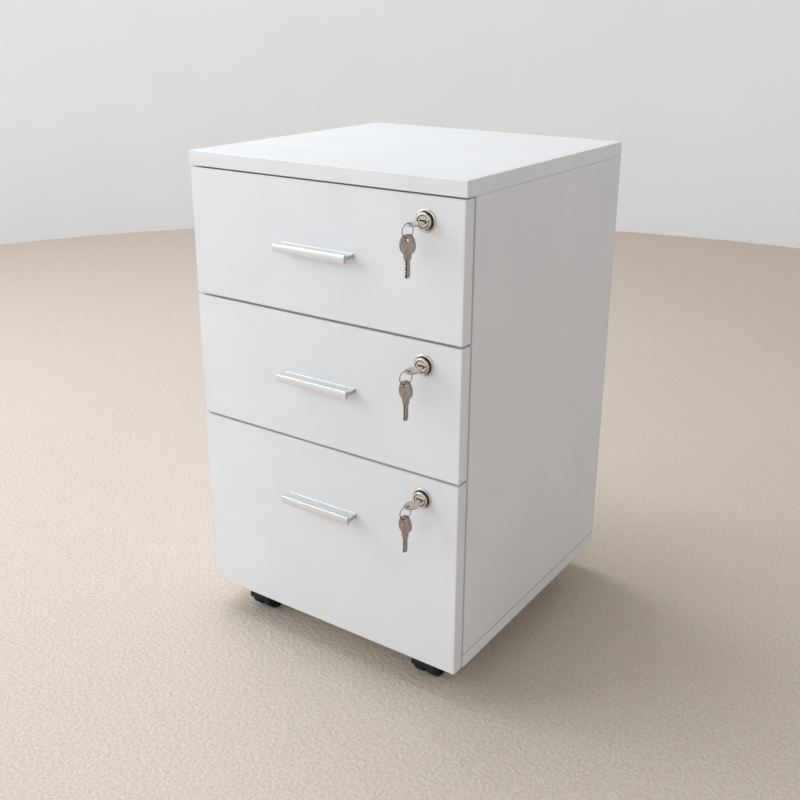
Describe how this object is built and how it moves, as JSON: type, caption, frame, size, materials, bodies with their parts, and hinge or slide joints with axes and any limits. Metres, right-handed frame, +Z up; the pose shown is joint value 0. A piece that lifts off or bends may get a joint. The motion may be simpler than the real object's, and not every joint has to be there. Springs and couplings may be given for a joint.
{
  "type": "mobile drawer pedestal",
  "caption": "White board pedestal on castors, with locking drawers on roller slides, bar handles, and a key with a ring and a spare in each lock.",
  "frame": {"origin": "on the floor, under the middle of the bounding box", "axes": "+X to the right seen from the front, +Y from the drawer fronts to the back, +Z up"},
  "size_m": [0.4, 0.4412, 0.646],
  "materials": {
    "melamine": "white melamine-faced board, satin, with white edge banding",
    "hardboard": "white lacquered hardboard",
    "slide_enamel": "white epoxy-coated steel",
    "nylon": "natural nylon",
    "aluminium": "satin anodised",
    "nickel": "bright nickel plate",
    "key_metal": "nickel-plated, brushed",
    "ring_steel": "polished steel wire",
    "zinc": "zinc-plated",
    "castor_plastic": "black moulded nylon",
    "wheel_tread": "black moulded nylon"
  },
  "bodies": {
    "case": {"top_panel": "melamine", "base_panel": "melamine", "side_panel_left": "melamine", "side_panel_right": "melamine", "back_panel": "melamine", "case_fittings": "zinc", "slide_rails": "slide_enamel", "lock_strikes": "zinc", "castor_plates": "zinc", "wood_screws": "zinc"},
    "upper_drawer": {"upper_front": "melamine", "upper_box_sides": "melamine", "upper_box_back": "melamine", "upper_box_bottom": "hardboard", "upper_handle": "aluminium", "upper_fixings": "zinc", "upper_slide_runners": "slide_enamel", "upper_lock_body": "nickel"},
    "upper_rail_rollers": {"upper_rail_rollers": "nylon"},
    "upper_runner_rollers": {"upper_runner_rollers": "nylon"},
    "upper_plug": {"upper_lock_plug": "nickel", "upper_key": "key_metal"},
    "upper_ring": {"upper_key_ring": "ring_steel"},
    "upper_spare": {"upper_spare_key": "key_metal"},
    "middle_drawer": {"middle_front": "melamine", "middle_box_sides": "melamine", "middle_box_back": "melamine", "middle_box_bottom": "hardboard", "middle_handle": "aluminium", "middle_fixings": "zinc", "middle_slide_runners": "slide_enamel", "middle_lock_body": "nickel"},
    "middle_rail_rollers": {"middle_rail_rollers": "nylon"},
    "middle_runner_rollers": {"middle_runner_rollers": "nylon"},
    "middle_plug": {"middle_lock_plug": "nickel", "middle_key": "key_metal"},
    "middle_ring": {"middle_key_ring": "ring_steel"},
    "middle_spare": {"middle_spare_key": "key_metal"},
    "lower_drawer": {"lower_front": "melamine", "lower_box_sides": "melamine", "lower_box_back": "melamine", "lower_box_bottom": "hardboard", "lower_handle": "aluminium", "lower_fixings": "zinc", "lower_slide_runners": "slide_enamel", "lower_lock_body": "nickel"},
    "lower_rail_rollers": {"lower_rail_rollers": "nylon"},
    "lower_runner_rollers": {"lower_runner_rollers": "nylon"},
    "lower_plug": {"lower_lock_plug": "nickel", "lower_key": "key_metal"},
    "lower_ring": {"lower_key_ring": "ring_steel"},
    "lower_spare": {"lower_spare_key": "key_metal"},
    "castor_front_left": {"castor_front_left_hood": "castor_plastic"},
    "castor_front_left_wheels": {"castor_front_left_wheels": "wheel_tread"},
    "castor_front_right": {"castor_front_right_hood": "castor_plastic"},
    "castor_front_right_wheels": {"castor_front_right_wheels": "wheel_tread"},
    "castor_back_left": {"castor_back_left_hood": "castor_plastic"},
    "castor_back_left_wheels": {"castor_back_left_wheels": "wheel_tread"},
    "castor_back_right": {"castor_back_right_hood": "castor_plastic"},
    "castor_back_right_wheels": {"castor_back_right_wheels": "wheel_tread"}
  },
  "joints": [
    {"name": "upper_drawer_slide", "type": "slide", "parent": "case", "child": "upper_drawer", "axis": [0, -1, 0], "range_m": [0, 0.26]},
    {"name": "upper_rail_roller_turn", "type": "hinge", "parent": "case", "child": "upper_rail_rollers", "pos_m": [0, -0.14536, 0.4857], "axis": [1, 0, 0], "range_deg": [0, 1657]},
    {"name": "upper_runner_roller_turn", "type": "hinge", "parent": "upper_drawer", "child": "upper_runner_rollers", "pos_m": [0, 0.18064, 0.4851], "axis": [1, 0, 0], "range_deg": [0, 1657]},
    {"name": "upper_lock_turn", "type": "hinge", "parent": "upper_drawer", "child": "upper_plug", "pos_m": [0.1495, -0.17936, 0.599], "axis": [0, 1, 0], "range_deg": [0, 90]},
    {"name": "upper_ring_swing", "type": "hinge", "parent": "upper_plug", "child": "upper_ring", "pos_m": [0.1495, -0.20666, 0.599], "axis": [-0.2079, -0.9781, 0], "range_deg": [-25, 25]},
    {"name": "upper_spare_swing", "type": "hinge", "parent": "upper_ring", "child": "upper_spare", "pos_m": [0.1483, -0.21232, 0.5856], "axis": [0.1392, -0.9903, 0], "range_deg": [-30, 30]},
    {"name": "middle_drawer_slide", "type": "slide", "parent": "case", "child": "middle_drawer", "axis": [0, -1, 0], "range_m": [0, 0.26]},
    {"name": "middle_rail_roller_turn", "type": "hinge", "parent": "case", "child": "middle_rail_rollers", "pos_m": [0, -0.14536, 0.3207], "axis": [1, 0, 0], "range_deg": [0, 1657]},
    {"name": "middle_runner_roller_turn", "type": "hinge", "parent": "middle_drawer", "child": "middle_runner_rollers", "pos_m": [0, 0.18064, 0.3201], "axis": [1, 0, 0], "range_deg": [0, 1657]},
    {"name": "middle_lock_turn", "type": "hinge", "parent": "middle_drawer", "child": "middle_plug", "pos_m": [0.1495, -0.17936, 0.436], "axis": [0, 1, 0], "range_deg": [0, 90]},
    {"name": "middle_ring_swing", "type": "hinge", "parent": "middle_plug", "child": "middle_ring", "pos_m": [0.1495, -0.20666, 0.436], "axis": [-0.4067, -0.9135, 0], "range_deg": [-25, 25]},
    {"name": "middle_spare_swing", "type": "hinge", "parent": "middle_ring", "child": "middle_spare", "pos_m": [0.14715, -0.21194, 0.4226], "axis": [-0.1045, -0.9945, 0], "range_deg": [-30, 30]},
    {"name": "lower_drawer_slide", "type": "slide", "parent": "case", "child": "lower_drawer", "axis": [0, -1, 0], "range_m": [0, 0.26]},
    {"name": "lower_rail_roller_turn", "type": "hinge", "parent": "case", "child": "lower_rail_rollers", "pos_m": [0, -0.14536, 0.0837], "axis": [1, 0, 0], "range_deg": [0, 1657]},
    {"name": "lower_runner_roller_turn", "type": "hinge", "parent": "lower_drawer", "child": "lower_runner_rollers", "pos_m": [0, 0.18064, 0.0831], "axis": [1, 0, 0], "range_deg": [0, 1657]},
    {"name": "lower_lock_turn", "type": "hinge", "parent": "lower_drawer", "child": "lower_plug", "pos_m": [0.1495, -0.17936, 0.271], "axis": [0, 1, 0], "range_deg": [0, 90]},
    {"name": "lower_ring_swing", "type": "hinge", "parent": "lower_plug", "child": "lower_ring", "pos_m": [0.1495, -0.20666, 0.271], "axis": [-0.2756, -0.9613, 0], "range_deg": [-25, 25]},
    {"name": "lower_spare_swing", "type": "hinge", "parent": "lower_ring", "child": "lower_spare", "pos_m": [0.14791, -0.21222, 0.2576], "axis": [-0.1045, -0.9945, 0], "range_deg": [-30, 30]},
    {"name": "castor_front_left_swivel", "type": "hinge", "parent": "case", "child": "castor_front_left", "pos_m": [-0.138, -0.11736, 0], "axis": [0, 0, 1], "continuous": true},
    {"name": "castor_front_left_roll", "type": "hinge", "parent": "castor_front_left", "child": "castor_front_left_wheels", "pos_m": [-0.138, -0.13336, 0.02], "axis": [1, 0, 0], "continuous": true},
    {"name": "castor_front_right_swivel", "type": "hinge", "parent": "case", "child": "castor_front_right", "pos_m": [0.138, -0.11736, 0], "axis": [0, 0, 1], "continuous": true},
    {"name": "castor_front_right_roll", "type": "hinge", "parent": "castor_front_right", "child": "castor_front_right_wheels", "pos_m": [0.138, -0.13336, 0.02], "axis": [1, 0, 0], "continuous": true},
    {"name": "castor_back_left_swivel", "type": "hinge", "parent": "case", "child": "castor_back_left", "pos_m": [-0.138, 0.15864, 0], "axis": [0, 0, 1], "continuous": true},
    {"name": "castor_back_left_roll", "type": "hinge", "parent": "castor_back_left", "child": "castor_back_left_wheels", "pos_m": [-0.138, 0.14264, 0.02], "axis": [1, 0, 0], "continuous": true},
    {"name": "castor_back_right_swivel", "type": "hinge", "parent": "case", "child": "castor_back_right", "pos_m": [0.138, 0.15864, 0], "axis": [0, 0, 1], "continuous": true},
    {"name": "castor_back_right_roll", "type": "hinge", "parent": "castor_back_right", "child": "castor_back_right_wheels", "pos_m": [0.138, 0.14264, 0.02], "axis": [1, 0, 0], "continuous": true}
  ],
  "couplings": [
    {"joint": "upper_rail_roller_turn", "follows": "upper_drawer_slide", "rad_per_m": 111.11},
    {"joint": "upper_runner_roller_turn", "follows": "upper_drawer_slide", "rad_per_m": 111.11},
    {"joint": "middle_rail_roller_turn", "follows": "middle_drawer_slide", "rad_per_m": 111.11},
    {"joint": "middle_runner_roller_turn", "follows": "middle_drawer_slide", "rad_per_m": 111.11},
    {"joint": "lower_rail_roller_turn", "follows": "lower_drawer_slide", "rad_per_m": 111.11},
    {"joint": "lower_runner_roller_turn", "follows": "lower_drawer_slide", "rad_per_m": 111.11}
  ]
}
